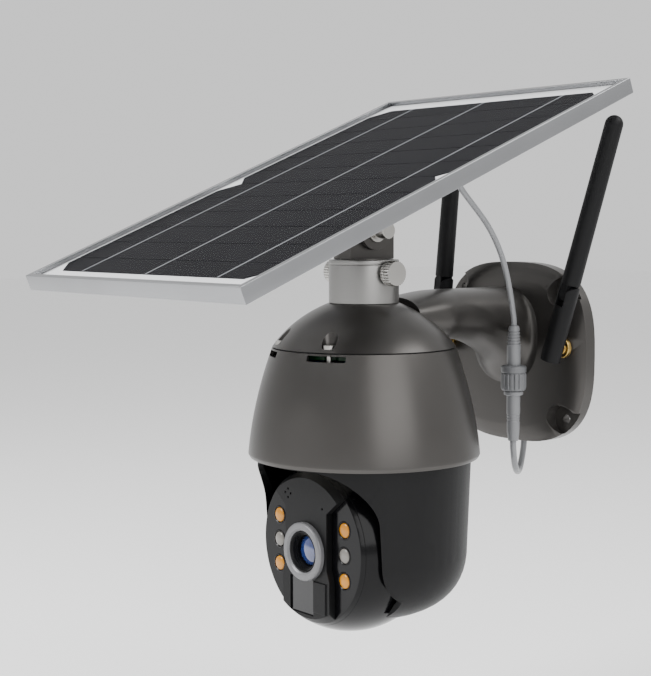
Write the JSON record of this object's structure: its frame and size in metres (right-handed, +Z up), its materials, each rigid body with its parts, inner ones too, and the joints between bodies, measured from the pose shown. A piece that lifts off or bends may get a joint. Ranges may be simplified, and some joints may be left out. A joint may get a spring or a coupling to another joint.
{
  "type": "solar security camera",
  "caption": "Wall-mounted pan and tilt security camera: arm with a domed shell, ball head in a fork, tilting solar panel above on a post, and folding antennas.",
  "frame": {"origin": "centre of the wall plate's back face", "axes": "+Z up, the wall is the plane Y = 0 and +Y points into it, the camera looks along -Y, +X to the right of someone facing the wall"},
  "size_m": [0.1658, 0.2404, 0.2581],
  "materials": {
    "grey_plastic": "satin gunmetal",
    "black_plastic": "fine matt texture",
    "steel": "satin",
    "aluminium": "satin anodised",
    "brass": "machined",
    "white_nylon": "moulded",
    "board": "coated board",
    "cell_wrap": "wrapped cells",
    "rubber": "matt",
    "lens_ring_grey": "flat",
    "lens_glass": "coated",
    "warm_lens": "moulded lens",
    "infrared_lens": "moulded lens",
    "window": "smoked",
    "panel_glass": "clear",
    "silicon": "cells",
    "back_sheet": "white film",
    "cord": "satin jacket"
  },
  "bodies": {
    "mount_body": {"wall_plate": "grey_plastic", "wall_gasket": "rubber", "arm_cap": "grey_plastic", "arm_screws": "steel", "cap_seal": "rubber", "shell_screws": "steel", "dome_shell": "grey_plastic", "inner_deck": "black_plastic", "main_board": "board", "battery_cells": "cell_wrap", "battery_holder": "black_plastic", "speaker": "black_plastic", "pan_motor": "steel", "pan_bearing": "steel", "collar": "steel", "antenna_sockets": "brass", "lead_plug": "cord", "pigtail_socket": "cord", "pigtail": "cord"},
    "pan_fork": {"turntable": "black_plastic", "pan_clip": "steel", "fork_shell": "black_plastic", "fork_screws": "steel", "tilt_bushes": "white_nylon", "tilt_pin": "steel", "tilt_gear": "white_nylon"},
    "pan_drive": {"pan_pinion": "white_nylon"},
    "camera_head": {"ball_shell": "black_plastic", "tilt_motor": "steel", "face_plate": "black_plastic", "centre_plate": "black_plastic", "lens_ring": "lens_ring_grey", "lens_barrel": "black_plastic", "lens_glass": "lens_glass", "sensor_board": "board", "lamp_board": "board", "warm_lamps": "warm_lens", "infrared_lamps": "infrared_lens", "sensor_window": "window", "service_cover": "black_plastic"},
    "tilt_drive": {"tilt_pinion": "white_nylon"},
    "post": {"panel_post": "grey_plastic"},
    "panel": {"panel_bracket": "grey_plastic", "tilt_nut": "steel", "cross_rail": "aluminium", "panel_frame": "aluminium", "panel_glass": "panel_glass", "solar_cells": "silicon", "back_sheet": "back_sheet", "junction_box": "black_plastic", "cable_gland": "black_plastic", "panel_lead": "cord"},
    "panel_bolt": {"tilt_bolt": "steel"},
    "right_thumb_screw": {"thumb_screw_right": "steel"},
    "left_thumb_screw": {"thumb_screw_left": "steel"},
    "connector_ring": {"lock_ring": "black_plastic"},
    "right_antenna_base": {"antenna_base_right": "black_plastic"},
    "right_antenna_blade": {"antenna_blade_right": "black_plastic"},
    "left_antenna_base": {"antenna_base_left": "black_plastic"},
    "left_antenna_blade": {"antenna_blade_left": "black_plastic"}
  },
  "joints": [
    {"name": "pan", "type": "hinge", "parent": "mount_body", "child": "pan_fork", "pos_m": [0, -0.108, -0.0435], "axis": [0, 0, 1], "range_deg": [-175, 175]},
    {"name": "pan_motor_turn", "type": "hinge", "parent": "mount_body", "child": "pan_drive", "pos_m": [0, -0.07895, -0.033], "axis": [0, 0, 1], "range_deg": [-880, 880]},
    {"name": "camera_tilt", "type": "hinge", "parent": "pan_fork", "child": "camera_head", "pos_m": [0, -0.1169, -0.0834], "axis": [1, 0, 0], "range_deg": [-15, 80]},
    {"name": "tilt_motor_turn", "type": "hinge", "parent": "camera_head", "child": "tilt_drive", "pos_m": [0, -0.09745, -0.0834], "axis": [1, 0, 0], "range_deg": [-50, 245]},
    {"name": "panel_swivel", "type": "hinge", "parent": "mount_body", "child": "post", "pos_m": [0, -0.108, 0.04], "axis": [0, 0, 1], "range_deg": [-5, 5], "deforming": ["panel_lead"]},
    {"name": "panel_tilt", "type": "hinge", "parent": "post", "child": "panel", "pos_m": [0, -0.108, 0.0625], "axis": [1, 0, 0], "range_deg": [0, 38], "deforming": ["panel_lead"]},
    {"name": "tilt_bolt_turn", "type": "hinge", "parent": "post", "child": "panel_bolt", "pos_m": [0, -0.108, 0.0625], "axis": [1, 0, 0], "range_deg": [-180, 180]},
    {"name": "right_thumb_screw_turn", "type": "hinge", "parent": "mount_body", "child": "right_thumb_screw", "pos_m": [0.019, -0.108, 0.0428], "axis": [1, 0, 0], "range_deg": [-180, 180]},
    {"name": "left_thumb_screw_turn", "type": "hinge", "parent": "mount_body", "child": "left_thumb_screw", "pos_m": [-0.019, -0.108, 0.0428], "axis": [1, 0, 0], "range_deg": [-180, 180]},
    {"name": "connector_ring_turn", "type": "hinge", "parent": "mount_body", "child": "connector_ring", "pos_m": [0.025, -0.032, -0.01], "axis": [0, 0, 1], "range_deg": [-90, 90]},
    {"name": "right_antenna_swing", "type": "hinge", "parent": "mount_body", "child": "right_antenna_base", "pos_m": [0.04, -0.02, 0.0045], "axis": [0, 1, 0], "range_deg": [0, 65]},
    {"name": "right_antenna_fold", "type": "hinge", "parent": "right_antenna_base", "child": "right_antenna_blade", "pos_m": [0.04888, -0.02, 0.03105], "axis": [0.9483, 0, -0.3173], "range_deg": [0, 90]},
    {"name": "left_antenna_swing", "type": "hinge", "parent": "mount_body", "child": "left_antenna_base", "pos_m": [-0.04, -0.02, 0.0045], "axis": [0, 1, 0], "range_deg": [-65, 0]},
    {"name": "left_antenna_fold", "type": "hinge", "parent": "left_antenna_base", "child": "left_antenna_blade", "pos_m": [-0.03707, -0.02, 0.03235], "axis": [0.9945, 0, -0.1045], "range_deg": [0, 90]}
  ],
  "couplings": [
    {"joint": "pan_motor_turn", "follows": "pan", "ratio": -5},
    {"joint": "tilt_motor_turn", "follows": "camera_tilt", "ratio": 3}
  ]
}
